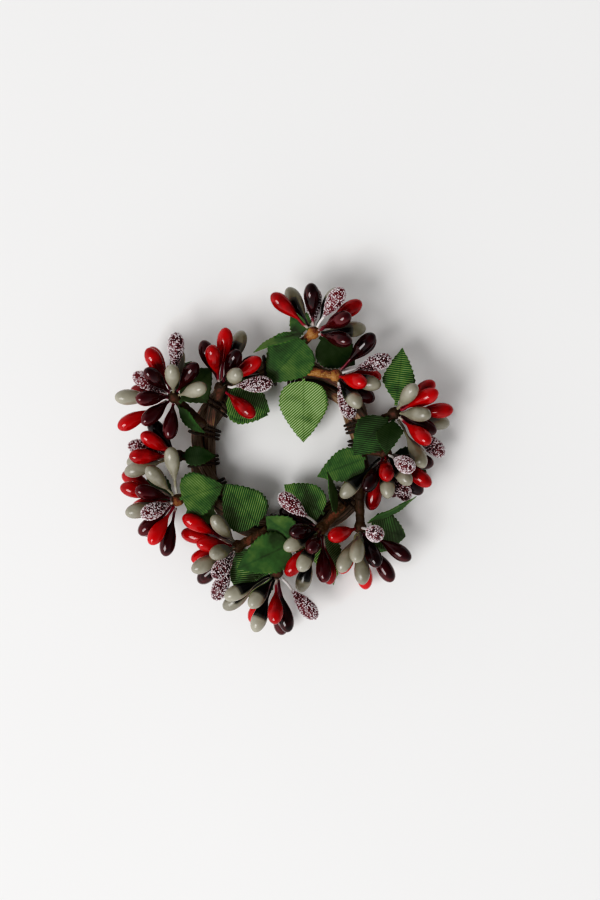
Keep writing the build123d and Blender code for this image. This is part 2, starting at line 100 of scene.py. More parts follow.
def add_node(
    tree: Tree, kind: str, inputs: dict[str | int, Any] | None = None, **settings: Any
) -> bpy.types.Node:
    """Adds a node with its settings and links.

    Args:
        tree: The material's or world's node tree.
        kind: The node's type name.
        inputs: Values or sockets to link, by the input's name or number.
        settings: Attributes of the node itself.

    Returns:
        The new node.
    """
    made = tree.nodes.new(kind)
    for name, value in settings.items():
        setattr(made, name, value)
    for name, value in (inputs or {}).items():
        if isinstance(value, Socket):
            tree.links.new(value, made.inputs[name])
        else:
            made.inputs[name].default_value = value
    return made


def attribute(tree: Tree, name: str) -> Socket:
    """Reads a number that each point of the mesh carries."""
    return add_node(tree, "ShaderNodeAttribute", attribute_name=name).outputs["Fac"]


def object_place(tree: Tree) -> Socket:
    """Reads the place on the object, in metres."""
    return add_node(tree, "ShaderNodeTexCoord").outputs["Object"]


def product(tree: Tree, first: Socket, second: Socket) -> Socket:
    """Multiplies two numbers."""
    return add_node(tree, "ShaderNodeMath", {0: first, 1: second}, operation="MULTIPLY").outputs[0]


def ranged(
    tree: Tree, value: Socket, low: float, high: float, start: float = 0.0, end: float = 1.0
) -> Socket:
    """Maps a number that goes from low to high to one that goes from start to end."""
    return add_node(tree, "ShaderNodeMapRange", {0: value, 1: low, 2: high, 3: start, 4: end}).outputs[0]


def cloudy(tree: Tree, place: Socket, scale: float, detail: float, roughness: float = 0.5) -> Socket:
    """Gives soft noise.

    Args:
        tree: The node tree.
        place: The coordinates that the noise is read at.
        scale: The texture scale.
        detail: How many finer layers lie over the first.
        roughness: How strong the finer layers are.

    Returns:
        The noise, about 0 to 1.
    """
    inputs = {"Vector": place, "Scale": scale, "Detail": detail, "Roughness": roughness}
    return add_node(tree, "ShaderNodeTexNoise", inputs).outputs["Fac"]


def blend(tree: Tree, share: Socket, first: str | Socket, second: str | Socket) -> Socket:
    """Mixes two colours.

    Args:
        tree: The node tree.
        share: How much of the second colour shows.
        first: An sRGB hex value, or a socket.
        second: The same for the second colour.

    Returns:
        The mixed colour.
    """
    one, two = (linear(colour) if isinstance(colour, str) else colour for colour in (first, second))
    return add_node(tree, "ShaderNodeMix", {0: share, 6: one, 7: two}, data_type="RGBA").outputs[2]


def bumped(tree: Tree, height: Socket, strength: float, depth: float) -> Socket:
    """Turns a height into a shading normal, for a depth in millimetres."""
    inputs = {"Height": height, "Strength": strength, "Distance": depth * MM}
    return add_node(tree, "ShaderNodeBump", inputs).outputs[0]


def blank_material(name: str) -> tuple[bpy.types.Material, Tree, bpy.types.Node]:
    """Starts a material that holds one shader.

    Args:
        name: The material's name.

    Returns:
        The material, its node tree and its shader.
    """
    material = bpy.data.materials.new(name)
    material.use_nodes = True
    tree = material.node_tree
    return material, tree, tree.nodes["Principled BSDF"]


@dataclass(frozen=True)
class Lacquer:
    """Coloured lacquer that a pip is dipped in: wet gloss on the berry, thin and dull on the thread."""

    name: str
    colour: str
    deep: str
    thin: str
    thread: str
    patch: str
    roughness: float
    dull: float = 0.62
    cloud_size: float = 3.0
    ripple_size: float = 0.9
    ripple_depth: float = 0.06

    def material(self) -> bpy.types.Material:
        """Builds the dipped coat, which thins out down the stalk and is cloudy where it ran."""
        material, tree, shader = blank_material(self.name)
        coat = attribute(tree, "coat")
        place = object_place(tree)
        cloud = cloudy(tree, place, per_metre(self.cloud_size), 3.0, 0.55)
        share = ranged(tree, product(tree, cloud, attribute(tree, "tone")), 0.1, 0.5)
        body = blend(tree, share, self.colour, self.deep)
        stained = blend(tree, ranged(tree, coat, 0.0, 0.5), self.thread, self.thin)
        dipped = blend(tree, ranged(tree, coat, 0.5, 1.0), stained, body)
        painted = blend(tree, attribute(tree, "patch"), dipped, self.patch)
        gloss = ranged(tree, coat, 0.2, 0.9, self.dull, self.roughness)
        ripple = cloudy(tree, place, per_metre(self.ripple_size), 2.0)
        tree.links.new(painted, shader.inputs["Base Color"])
        tree.links.new(gloss, shader.inputs["Roughness"])
        tree.links.new(bumped(tree, ripple, 0.25, self.ripple_depth), shader.inputs["Normal"])
        shader.inputs["IOR"].default_value = 1.5
        return material


@dataclass(frozen=True)
class Grain:
    """Clear and white glass grit over dark red lacquer: a dry sparkle, with dark gaps between grains."""

    name: str = "glass grit"
    pale: str = "E6DFE1"
    grey: str = "A88388"
    red: str = "6E1C28"
    roughness: float = 0.3

    def material(self) -> bpy.types.Material:
        """Builds the grit, with a colour for each grain from its own attribute."""
        material, tree, shader = blank_material(self.name)
        ramp = add_node(tree, "ShaderNodeValToRGB", {0: attribute(tree, "tone")})
        ramp.color_ramp.interpolation = "LINEAR"
        ramp.color_ramp.elements[0].color = linear(self.red)
        ramp.color_ramp.elements[0].position = 0.08
        ramp.color_ramp.elements[1].color = linear(self.pale)
        ramp.color_ramp.elements[1].position = 0.62
        ramp.color_ramp.elements.new(0.3).color = linear(self.grey)
        tree.links.new(ramp.outputs[0], shader.inputs["Base Color"])
        shader.inputs["Roughness"].default_value = self.roughness
        shader.inputs["IOR"].default_value = 1.5
        return material


@dataclass(frozen=True)
class LeafCloth:
    """Ribbed polyester cloth, dyed green and stiffened: pale raised cords over a darker ground."""

    name: str = "ribbed leaf cloth"
    shade: str = "0F2408"
    ground: str = "152D0C"
    cord: str = "213D14"
    # The bright colours are the cloth of the palest, best-lit leaves, so they carry painted light as well as
    # dye
    bright_ground: str = "486A33"
    bright_cord: str = "A9BB8C"
    fray: str = "4A6A32"
    rib_pitch: float = 0.7
    rib_height: float = 0.12
    fold_width: float = 0.5
    dye_size: float = 6.0
    roughness: float = 0.62

    def material(self) -> bpy.types.Material:
        """Builds the cloth: cords along the weave map, painted shade along the pressed fold and a lighter
        cut edge.
        """
        material, tree, shader = blank_material(self.name)
        weave = add_node(tree, "ShaderNodeUVMap", uv_map="weave").outputs[0]
        # The weave map is in millimetres, so one cord is one rib pitch
        cord = add_node(
            tree,
            "ShaderNodeTexWave",
            {"Vector": weave, "Scale": math.pi / (10 * self.rib_pitch), "Distortion": 0.25, "Detail": 1.0},
            wave_type="BANDS",
            bands_direction="X",
            wave_profile="SIN",
        ).outputs["Fac"]
        dye = cloudy(tree, object_place(tree), per_metre(self.dye_size), 3.0, 0.6)
        # The leaf's tone moves the cloth towards the bright colours: partly dye, partly painted light and
        # shade
        share = ranged(tree, product(tree, attribute(tree, "tone"), dye), 0.05, 0.5)
        ground = blend(tree, share, self.ground, self.bright_ground)
        raised = blend(tree, share, self.cord, self.bright_cord)
        strength = attribute(tree, "cords")
        edge = ranged(tree, cord, 0.5, 0.95)
        crest = add_node(
            tree, "ShaderNodeMix", {0: strength, 2: 0.35, 3: edge}, data_type="FLOAT"
        ).outputs[0]
        ribbed = blend(tree, crest, ground, raised)
        # Painted shade: the cloth darkens along the middle fold, in the valley of the crease
        crease_shade = ranged(tree, attribute(tree, "fold"), 0.0, self.fold_width, 0.25, 0.0)
        folded = blend(tree, crease_shade, ribbed, self.shade)
        frayed = ranged(tree, attribute(tree, "rim"), 0.93, 1.0, 0.0, 0.55)
        ridge = product(tree, cord, strength)
        tree.links.new(blend(tree, frayed, folded, self.fray), shader.inputs["Base Color"])
        tree.links.new(bumped(tree, ridge, 0.6, self.rib_height), shader.inputs["Normal"])
        shader.inputs["Roughness"].default_value = self.roughness
        shader.inputs["Specular IOR Level"].default_value = 0.22
        return material


@dataclass(frozen=True)
class Bark:
    """Dry grapevine bark: stringy, grey-brown on the ridges and dark in the splits, partly with painted
    shade.
    """

    name: str = "grapevine bark"
    split_and_shade: str = "34261C"
    bark: str = "7A6352"
    ridge: str = "A8917C"
    fibre_width: float = 0.5
    fibre_length: float = 9.0
    fibre_depth: float = 0.35
    roughness: float = 0.82

    def material(self) -> bpy.types.Material:
        """Builds the bark, with fibres that run along the strand's own map."""
        material, tree, shader = blank_material(self.name)
        strand = add_node(tree, "ShaderNodeUVMap", uv_map="strand").outputs[0]
        stretch = (1 / self.fibre_length, 1 / self.fibre_width, 1.0)
        grain = add_node(tree, "ShaderNodeMapping", {"Vector": strand, "Scale": stretch}).outputs[0]
        fibre = cloudy(tree, grain, 1.0, 5.0, 0.65)
        # The same noise sets the colour and the bump, so the splits are dark: partly the bark's colour,
        # partly painted shade in the recesses
        ramp = add_node(tree, "ShaderNodeValToRGB", {0: fibre})
        ramp.color_ramp.elements[0].position = 0.34
        ramp.color_ramp.elements[0].color = linear(self.split_and_shade)
        ramp.color_ramp.elements[1].position = 0.7
        ramp.color_ramp.elements[1].color = linear(self.ridge)
        ramp.color_ramp.elements.new(0.5).color = linear(self.bark)
        tree.links.new(ramp.outputs[0], shader.inputs["Base Color"])
        tree.links.new(bumped(tree, fibre, 0.9, self.fibre_depth), shader.inputs["Normal"])
        shader.inputs["Roughness"].default_value = self.roughness
        return material


@dataclass(frozen=True)
class PaperTape:
    """Waxed crepe paper, wound tight: fine creases with lighter crests, glue stains, and painted shade on
    some stems.
    """

    name: str
    stain: str
    paper: str
    # The lighter colour of the raised crests: rubbed paper and a painted highlight
    crest: str
    crease_size: float = 0.55
    blotch_size: float = 3.5
    crease_depth: float = 0.2
    # The colour of the painted shade on stems that lie in shade
    grime: str = "26150A"
    roughness: float = 0.7

    def material(self) -> bpy.types.Material:
        """Builds the paper: creases, lighter crests and glue stains by place, and painted shade from an
        attribute.
        """
        material, tree, shader = blank_material(self.name)
        place = object_place(tree)
        crease = cloudy(tree, place, per_metre(self.crease_size), 4.0, 0.7)
        blotch = cloudy(tree, place, per_metre(self.blotch_size), 3.0)
        base = blend(tree, ranged(tree, blotch, 0.38, 0.62), self.stain, self.paper)
        # The raised crests are lighter with the same noise that sets the bump: rubbed paper and a painted
        # highlight
        worn_and_lit = blend(tree, ranged(tree, crease, 0.45, 0.75, 0.0, 0.8), base, self.crest)
        # Painted shade: the attribute darkens the tape of stems that lie in shade under the pips and leaves
        shaded = blend(tree, attribute(tree, "grime"), worn_and_lit, self.grime)
        tree.links.new(shaded, shader.inputs["Base Color"])
        tree.links.new(bumped(tree, crease, 0.8, self.crease_depth), shader.inputs["Normal"])
        shader.inputs["Roughness"].default_value = self.roughness
        return material


RED_LACQUER = Lacquer("red dipped lacquer", "B8030E", "78020A", "861030", "B9B0A8", "1A0507", 0.11)
BURGUNDY_LACQUER = Lacquer("burgundy dipped lacquer", "4A0712", "1C0307", "5E0F28", "A89C96", "0C0405", 0.11)
SAGE_LACQUER = Lacquer("sage dipped lacquer", "949081", "7B776A", "827E6A", "A8A59A", "070606", 0.22)
FROST_BASE = Lacquer("dark red lacquer under grit", "5A1620", "350B12", "CFCBC8", "CFCBC8", "1A0507", 0.3)
GRIT = Grain()
LEAF_CLOTH = LeafCloth()
BARK = Bark()
STEM_TAPE = PaperTape("brown floral tape", "5A3518", "99683F", "C0986C")
# The wire's paper is far darker than its own orange-brown: painted shade for windings that lie under the
# leaves
SHADED_WIRE_PAPER = PaperTape("brown paper wire", "1C130D", "3A2A1E", "574434", 0.4, 2.5)


def islands(source: bpy.types.Object) -> list[np.ndarray]:
    """Splits a CAD node into its separate solids.

    Args:
        source: The node's object, which is only read.

    Returns:
        The corner points of each solid, in millimetres.
    """
    copy = bmesh.new()
    copy.from_mesh(source.data)
    bmesh.ops.remove_doubles(copy, verts=copy.verts, dist=0.002 * MM)
    seen: set[bmesh.types.BMVert] = set()
    solids = []
    for first in copy.verts:
        if first in seen:
            continue
        seen.add(first)
        group, front = [], [first]
        while front:
            corner = front.pop()
            group.append(corner.co / MM)
            for edge in corner.link_edges:
                other = edge.other_vert(corner)
                if other not in seen:
                    seen.add(other)
                    front.append(other)
        solids.append(np.array(group))
    copy.free()
    return solids


def finish_piece(
    name: str, shape: bmesh.types.BMesh, materials: list[bpy.types.Material], node: str, body: str
) -> bpy.types.Object:
    """Turns a shape in millimetres into a piece that stands for a CAD node.

    Args:
        name: The piece's name.
        shape: The finished shape, which is freed.
        materials: The piece's materials, in slot order.
        node: The CAD node that the piece replaces.
        body: The CAD body that it rides on.

    Returns:
        The new object.
    """
    shape.transform(Matrix.Scale(MM, 4))
    for face in shape.faces:
        face.smooth = True
    mesh = bpy.data.meshes.new(name)
    shape.to_mesh(mesh)
    shape.free()
    piece = bpy.data.objects.new(name, mesh)
    bpy.context.scene.collection.objects.link(piece)
    for material in materials:
        mesh.materials.append(material)
    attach(piece, body)
    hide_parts(node)
    LOG.info("%s: %d faces on %s", name, len(mesh.polygons), body)
    return piece


def join_into(total: bmesh.types.BMesh, part: bmesh.types.BMesh) -> None:
    """Adds a part's faces to a larger shape, and frees the part."""
    carrier = bpy.data.meshes.new("carrier")
    part.to_mesh(carrier)
    part.free()
    total.from_mesh(carrier)
    bpy.data.meshes.remove(carrier)


def frame_along(axis: Vector, spin: float = 0.0) -> Matrix:
    """Gives the rotation whose Z column is the axis, turned about it by spin radians."""
    return (axis.to_track_quat("Z", "Y").to_matrix() @ Matrix.Rotation(spin, 3, "Z")).to_4x4()


def revolve(outline: list[Vector], sides: int) -> bmesh.types.BMesh:
    """Turns half an outline about Z.

    Args:
        outline: Points in the XZ plane, from the axis and back to it.
        sides: How many steps go round.

    Returns:
        The closed shape.
    """
    shape = bmesh.new()
    corners = [shape.verts.new(point) for point in outline]
    edges = [shape.edges.new(pair) for pair in zip(corners, corners[1:])]
    bmesh.ops.spin(
        shape,
        geom=corners + edges,
        cent=(0, 0, 0),
        axis=(0, 0, 1),
        angle=math.tau,
        steps=sides,
        use_merge=True,
    )
    bmesh.ops.remove_doubles(shape, verts=shape.verts, dist=0.01)
    bmesh.ops.recalc_face_normals(shape, faces=shape.faces)
    return shape


def ring_order(face: bmesh.types.BMFace) -> tuple[float, float]:
    """Gives a key that sorts a turned shape's faces ring by ring, in the same order in each run."""
    middle = face.calc_center_median()
    return max(corner.co.z for corner in face.verts), math.atan2(middle.y, middle.x)


def corners_in_order(face: bmesh.types.BMFace) -> list[Vector]:
    """Gives a turned shape's face corners by end and side, in the same order in each run."""
    middle = face.calc_center_median()
    places = [corner.co for corner in face.verts]
    return sorted(places, key=lambda place: (place.z > middle.z, middle.xy.cross(place.xy) > 0))


class Finish(Enum):
    """The four coats that pips are sold in."""

    RED = "red"
    BURGUNDY = "burgundy"
    SAGE = "sage"
    FROSTED = "frosted"


@dataclass
class PipForm:
    """The teardrop of a pip in millimetres: a thread, a neck that swells and a rounded berry."""

    stalk_radius: float = 0.45
    berry_length: float = 12.4
    berry_radius: float = 2.6
    widest: float = 8.2
    neck_fullness: float = 0.25
    swell_fullness: float = 0.5
    tip_fullness: float = 0.55
    thread_steps: int = 5
    swell_points: int = 12
    tip_points: int = 10
    sides: int = 20

    def profile(self, start: float, length: float) -> list[Vector]:
        """Draws half the outline, from the thread's end to the tip.

        Args:
            start: Where the thread starts, from the knot's middle.
            length: Where the tip is.

        Returns:
            Points in the XZ plane.
        """
        neck = length - self.berry_length
        broad = neck + self.widest
        slim, wide = self.stalk_radius, self.berry_radius
        swell = interpolate_bezier(
            Vector((slim, 0, neck)),
            Vector((slim, 0, neck + self.neck_fullness * self.widest)),
            Vector((wide, 0, broad - self.swell_fullness * self.widest)),
            Vector((wide, 0, broad)),
            self.swell_points,
        )
        tip = interpolate_bezier(
            Vector((wide, 0, broad)),
            Vector((wide, 0, broad + self.tip_fullness * (length - broad))),
            Vector((self.tip_fullness * wide, 0, length)),
            Vector((0, 0, length)),
            self.tip_points,
        )
        steps = self.thread_steps
        thread = [Vector((slim, 0, start + (neck - start) * n / steps)) for n in range(steps)]
        return [Vector((0, 0, start)), *thread, *swell, *tip[1:]]


@dataclass
class Spray:
    """The pips of one finish on one pick."""

    pick: str
    finish: Finish
    knot: Vector
    form: PipForm = field(default_factory=PipForm)
    bow: float = 0.35
    lump: float = 0.035
    grit_count: int = 760
    grit_radius: tuple[float, float] = (0.13, 0.24)
    grit_start: float = 0.6
    grit_lift: float = 0.35
    patch_reach: float = 0.6
    patch_fade: float = 0.05
    # Sage pips on these picks get a near-black patch on the side that faces the listed way, from the neck
    # part way along the berry
    patch_ways: dict[str, tuple[float, float, float]] = field(
        default_factory=lambda: {
            "pick_01": (-0.8, -0.5, 0.35),
            "pick_02": (-0.4, 0.5, 0.8),
            "pick_04": (0.0, 0.6, 0.8),
            "pick_06": (0.1, 0.7, 0.7),
            "pick_07": (0.2, 0.8, 0.6),
            "pick_12": (-0.8, 0.0, 0.6),
        }
    )

    def build(self, source: bpy.types.Object, materials: dict[Finish, list[bpy.types.Material]]) -> None:
        """Makes a piece of all the pips in a CAD node.

        Args:
            source: The CAD node.
            materials: The materials of each finish.
        """
        total = bmesh.new()
        for number, points in enumerate(islands(source)):
            draw = random.Random(f"{source.name} {number}")
            axis = (Vector(points.mean(axis=0)) - self.knot).normalized()
            along = (points - np.array(self.knot)) @ np.array(axis)
            join_into(total, self.pip(axis, float(along.min()), float(along.max()), draw))
        finish_piece(
            f"{self.pick}_{self.finish.value}_berries",
            total,
            materials[self.finish],
            source.name,
            self.pick,
        )

    def pip(self, axis: Vector, start: float, length: float, draw: random.Random) -> bmesh.types.BMesh:
        """Makes one pip, with its coat, tone and patch attributes.

        Args:
            axis: The way that the pip points.
            start: Where its thread starts, from the knot's middle.
            length: Where its tip is.
            draw: The pip's own random numbers.

        Returns:
            The pip in millimetres, in place.
        """
        shape = revolve(self.form.profile(start, length), self.form.sides)
        neck = length - self.form.berry_length
        turn = frame_along(axis, draw.uniform(0, math.tau))
        self.paint(shape, neck, turn, draw)
        self.bend(shape, start, neck, draw)
        if self.finish is Finish.FROSTED:
            self.grit(shape, neck, draw)
        shape.transform(Matrix.Translation(self.knot) @ turn)
        return shape

    def paint(self, shape: bmesh.types.BMesh, neck: float, turn: Matrix, draw: random.Random) -> None:
        """Writes how thick the coat is at each point, the pip's tone and its dark patch.

        Args:
            shape: The pip along +Z, before it is turned into place.
            neck: Where the berry starts.
            turn: The turn that will put the pip in place.
            draw: The pip's own random numbers.
        """
        coat = shape.verts.layers.float.new("coat")
        tone = shape.verts.layers.float.new("tone")
        patch = shape.verts.layers.float.new("patch")
        own_tone = draw.uniform(0.2, 1.0)
        dipped_to = neck - draw.uniform(0.0, 5.0)
        patched = self.finish is Finish.SAGE and self.pick in self.patch_ways
        way = turn.to_3x3().transposed() @ Vector(self.patch_ways.get(self.pick, (0, 0, 1)))
        way = Vector((way.x, way.y)).normalized()
        full, gone = self.patch_reach - self.patch_fade, self.patch_reach + self.patch_fade
        for corner in shape.verts:
            soaked = smooth_step(dipped_to - 0.8, dipped_to + 0.8, corner.co.z)
            corner[coat] = 0.5 * soaked + 0.5 * smooth_step(neck - 0.5, neck + 1.5, corner.co.z)
            corner[tone] = own_tone
            girth = corner.co.xy.length
            if patched and girth > 0.1:
                facing = smooth_step(0.05, 0.3, corner.co.xy.dot(way) / girth)
                above = (corner.co.z - neck) / self.form.berry_length
                corner[patch] = facing * (1 - smooth_step(full, gone, above))

    def bend(self, shape: bmesh.types.BMesh, start: float, neck: float, draw: random.Random) -> None:
        """Bows the thread and makes the berry a little uneven.

        Args:
            shape: The pip along +Z.
            start: Where the thread starts.
            neck: Where the berry starts.
            draw: The pip's own random numbers.
        """
        seed = Vector((draw.uniform(0, 50), draw.uniform(0, 50), draw.uniform(0, 50)))
        bow = self.bow * draw.uniform(0.3, 1.0)
        for corner in shape.verts:
            share = (corner.co.z - start) / max(neck - start, 0.1)
            uneven = 1 + self.lump * noise.noise(corner.co * 0.3 + seed)
            corner.co.x *= uneven
            corner.co.y *= uneven
            if share < 1:
                corner.co.x += bow * math.sin(math.pi * share) ** 2

    def grit(self, shape: bmesh.types.BMesh, neck: float, draw: random.Random) -> None:
        """Sticks glass grains on the berry.

        Args:
            shape: The pip along +Z.
            neck: Where the berry starts.
            draw: The pip's own random numbers.
        """
        shape.faces.ensure_lookup_table()
        shape.normal_update()
        coated = [f for f in shape.faces if f.calc_center_median().z > neck + self.grit_start]
        coated.sort(key=ring_order)
        weights = [f.calc_area() for f in coated]
        tone = shape.verts.layers.float["tone"]
        spots = []
        for face in draw.choices(coated, weights, k=self.grit_count):
            a, b = sorted((draw.random(), draw.random()))
            corners = corners_in_order(face)
            spot = corners[0] * a + corners[1] * (b - a) + corners[2] * (1 - b)
            spots.append((spot, face.normal.copy()))
        for spot, normal in spots:
            radius = draw.uniform(*self.grit_radius)
            seat = Matrix.Translation(spot + normal * (radius * self.grit_lift))
            place = seat @ frame_along(normal, draw.uniform(0, 6))
            made = bmesh.ops.create_icosphere(shape, subdivisions=1, radius=radius, matrix=place)
            own_tone = draw.random() ** 0.7
            for corner in made["verts"]:
                corner[tone] = own_tone
                for face in corner.link_faces:
                    face.material_index = 1


def stem_distance(place: Vector, stems: list[Stem]) -> float:
    """Gives the distance from a place to the nearest stem's middle line."""
    gaps = []
    for foot, knot in stems:
        share = intersect_point_line(place, foot, knot)[1]
        gaps.append((place - foot.lerp(knot, min(max(share, 0.0), 1.0))).length)
    return min(gaps)


@dataclass
class Leaf:
    """A cloth leaf in millimetres, read from its CAD solid."""

    root: Vector
    ahead: Vector
    side: Vector
    up: Vector
    length: float
    width: float
    curl: float

    @classmethod
    def from_points(
        cls, points: np.ndarray, stems: list[Stem], thickness: float = 0.4, end: float = 0.3
    ) -> Leaf:
        """Reads a leaf's place, size and curl.

        Args:
            points: The solid's corner points.
            stems: The foot and the knot of each stem, to tell the root from the tip.
            thickness: The solid's thickness.
            end: How near to an end a point counts as being on it.

        Returns:
            The leaf, curling down from its root.
        """
        centre = points.mean(axis=0)
        _, _, axes = np.linalg.svd(points - centre, full_matrices=False)
        along = (points - centre) @ axes[0]
        first = points[along < along.min() + end].mean(axis=0)
        last = points[along > along.max() - end].mean(axis=0)
        root, tip = sorted((first, last), key=lambda place: stem_distance(Vector(place), stems))
        chord = tip - root
        reach = float(np.linalg.norm(chord))
        chord = chord / reach
        side = axes[1] - chord * (axes[1] @ chord)
        side = side / np.linalg.norm(side)
        up = np.cross(chord, side)
        height = (points - root) @ up
        if height.mean() < 0:
            side, up, height = -side, -up, -height
        rise = max(float(height.max()) - thickness / 2, 0.05)
        curl = 4 * math.atan(2 * rise / reach)
        length = reach * curl / (2 * math.sin(curl / 2))
        half = curl / 2
        return cls(
            Vector(root),
            Vector(math.cos(half) * chord + math.sin(half) * up),
            Vector(side),
            Vector(math.cos(half) * up - math.sin(half) * chord),
            length,
            float(np.ptp((points - root) @ side)),
            curl,
        )


@dataclass(frozen=True)
class LeafLook:
    """One leaf's cloth and cut: where it lies, its tone, its cords, their bias and how full its base is. The
    tone is partly the cloth's dye and partly painted light and shade: paler for leaves that face the window,
    darker for leaves in shade.
    """

    x: float
    y: float
    tone: float
    cords: float
    bias: float
    base: float = 2.7


@dataclass
class LeafSet:
    """The cloth leaves on one side of the ring."""

    node: str
    petiole_length: float = 1.0
    petiole_half: float = 0.55
    widest: float = 0.38
    tip_curve: float = 1.35
    tip_half: float = 0.02
    tooth_pitch: float = 1.5
    tooth_depth: float = 0.9
    thickness: float = 0.22
    crease: float = 0.05
    wave: float = 0.1
    sink: float = 0.35
    rows: int = 72
    columns: int = 14
    near: float = 7.0
    # Tones are partly dye and partly painted light and shade: higher for leaves that face the window, lower
    # for leaves in shade
    looks: tuple[LeafLook, ...] = (
        LeafLook(6.9, 12.5, 1.0, 1.0, 50),
        LeafLook(1.0, 29.0, 0.35, 0.3, 90),
        LeafLook(17.0, 32.0, 0.3, 0.1, 90),
        LeafLook(4.6, 41.0, 0.5, 0.1, 90),
        LeafLook(-2.6, 36.0, 0.6, 0.0, 90),
        LeafLook(38.0, 23.8, 0.5, 0.9, 90, 1.1),
        LeafLook(29.0, 6.0, 0.22, 0.9, 50, 1.5),
        LeafLook(34.6, 4.3, 0.22, 0.6, 60, 1.1),
        LeafLook(20.0, -6.0, 0.45, 0.25, 90),
        LeafLook(7.0, -16.5, 0.55, 0.8, 35),
        LeafLook(34.0, -20.0, 0.45, 0.0, 90),
        LeafLook(35.5, -27.0, 0.45, 0.8, 90),
        LeafLook(16.0, -13.5, 0.5, 0.0, 90),
        LeafLook(-7.0, -35.0, 0.38, 0.0, 60),
        LeafLook(-13.5, -20.0, 0.5, 1.0, 55),
        LeafLook(-1.6, -25.0, 0.4, 0.0, 90),
        LeafLook(-27.0, -13.0, 0.5, 0.4, 60),
        LeafLook(-29.0, -20.0, 0.7, 0.1, 90),
        LeafLook(-28.0, 22.0, 0.5, 0.1, 75, 1.1),
        LeafLook(-11.0, 18.0, 0.5, 0.8, 80),
        LeafLook(-27.0, -2.5, 0.15, 0.2, 80),
        LeafLook(-13.5, -39.0, 0.6, 0.9, 55),
        LeafLook(-10.0, -45.0, 0.8, 0.8, 60),
        LeafLook(14.5, -36.5, 0.75, 0.8, 60),
        LeafLook(31.0, -30.5, 0.5, 0.6, 60),
    )
    # Leaves that are not listed get a low tone, which is partly painted shade
    usual_look: LeafLook = LeafLook(0.0, 0.0, 0.2, 0.3, 70, 1.6)

    def build(self, source: bpy.types.Object, stems: list[Stem], material: bpy.types.Material) -> None:
        """Makes a piece of all the leaves in a CAD node.

        Args:
            source: The CAD node.
            stems: The foot and the knot of each stem.
            material: The cloth.
        """
        total = bmesh.new()
        for number, points in enumerate(islands(source)):
            draw = random.Random(f"{self.node} {number}")
            join_into(total, self.leaf(Leaf.from_points(points, stems), draw))
        finish_piece(f"{self.node}_cloth", total, [material], self.node, "ring")

    def half_width(self, leaf: Leaf, along: float, base: float) -> float:
        """Gives the half width of the blade at a distance from the root, without teeth."""
        if along < self.petiole_length:
            return self.petiole_half
        share = (along - self.petiole_length) / (leaf.length - self.petiole_length)
        if share < self.widest:
            fullness = max(1 - ((self.widest - share) / self.widest) ** base, 0.0) ** (1 / base)
            return max(leaf.width / 2 * fullness, self.petiole_half)
        taper = ((share - self.widest) / (1 - self.widest)) ** self.tip_curve
        return max(leaf.width / 2 * (1 - taper), self.tip_half)

    def look_of(self, leaf: Leaf) -> LeafLook:
        """Gives the tone and weave of the cloth that the leaf was cut from; the tone is partly dye and
        partly painted light and shade.
        """
        middle = leaf.root + leaf.ahead * (leaf.length / 2)
        look = min(self.looks, key=lambda one: math.hypot(middle.x - one.x, middle.y - one.y))
        distance = math.hypot(middle.x - look.x, middle.y - look.y)
        return look if distance < self.near else self.usual_look

    def leaf(self, leaf: Leaf, draw: random.Random) -> bmesh.types.BMesh:
        """Makes one leaf with pinked edges, a pressed fold and its weave map.

        Args:
            leaf: Its place and size.
            draw: Its own random numbers.

        Returns:
            The leaf in millimetres, in place.
        """
        shape = bmesh.new()
        bmesh.ops.create_grid(shape, x_segments=self.rows, y_segments=self.columns, size=1.0)
        tone = shape.verts.layers.float.new("tone")
        rim = shape.verts.layers.float.new("rim")
        fold = shape.verts.layers.float.new("fold")
        cords = shape.verts.layers.float.new("cords")
        weave = shape.loops.layers.uv.new("weave")
        look = self.look_of(leaf)
        turn = Matrix.Rotation(math.radians(look.bias - 90 + draw.uniform(-5, 5)), 2)
        phase = draw.uniform(0, math.tau)
        flat: dict[bmesh.types.BMVert, Vector] = {}
        for corner in shape.verts:
            along = leaf.length * (corner.co.x + 1) / 2
            across = corner.co.y
            half = self.half_width(leaf, along, look.base)
            tooth = abs((along / self.tooth_pitch + 0.1 * across) % 1.0 - 0.4)
            trim = -self.tooth_depth * tooth * smooth_step(0.8, 2.2, half) * abs(across) ** 6
            flat[corner] = Vector((along, across * half + math.copysign(trim, across)))
            corner[tone] = look.tone
            corner[cords] = look.cords
            corner[rim] = abs(across)
            corner[fold] = abs(flat[corner].y)
        for face in shape.faces:
            for loop in face.loops:
                loop[weave].uv = turn @ flat[loop.vert]
        radius = leaf.length / leaf.curl
        for corner in shape.verts:
            along, across = flat[corner]
            angle = along / radius
            half = max(self.half_width(leaf, along, look.base), 0.3)
            blade = smooth_step(self.petiole_length, self.petiole_length + 4, along)
            sway = math.sin(along * 0.75 + phase + (1.1 if across > 0 else 0.0))
            ripple = self.wave * sway * (across / half) ** 2
            relief = blade * (self.crease * abs(across) - self.sink + ripple)
            corner.co = (
                leaf.root
                + leaf.ahead * (radius * math.sin(angle))
                + leaf.up * (radius * (math.cos(angle) - 1))
                + leaf.side * across
                + (leaf.up * math.cos(angle) + leaf.ahead * math.sin(angle)).normalized() * relief
            )
        bmesh.ops.remove_doubles(shape, verts=shape.verts, dist=0.01)
        bmesh.ops.recalc_face_normals(shape, faces=shape.faces)
        bmesh.ops.solidify(shape, geom=shape.faces[:], thickness=self.thickness)
        return shape


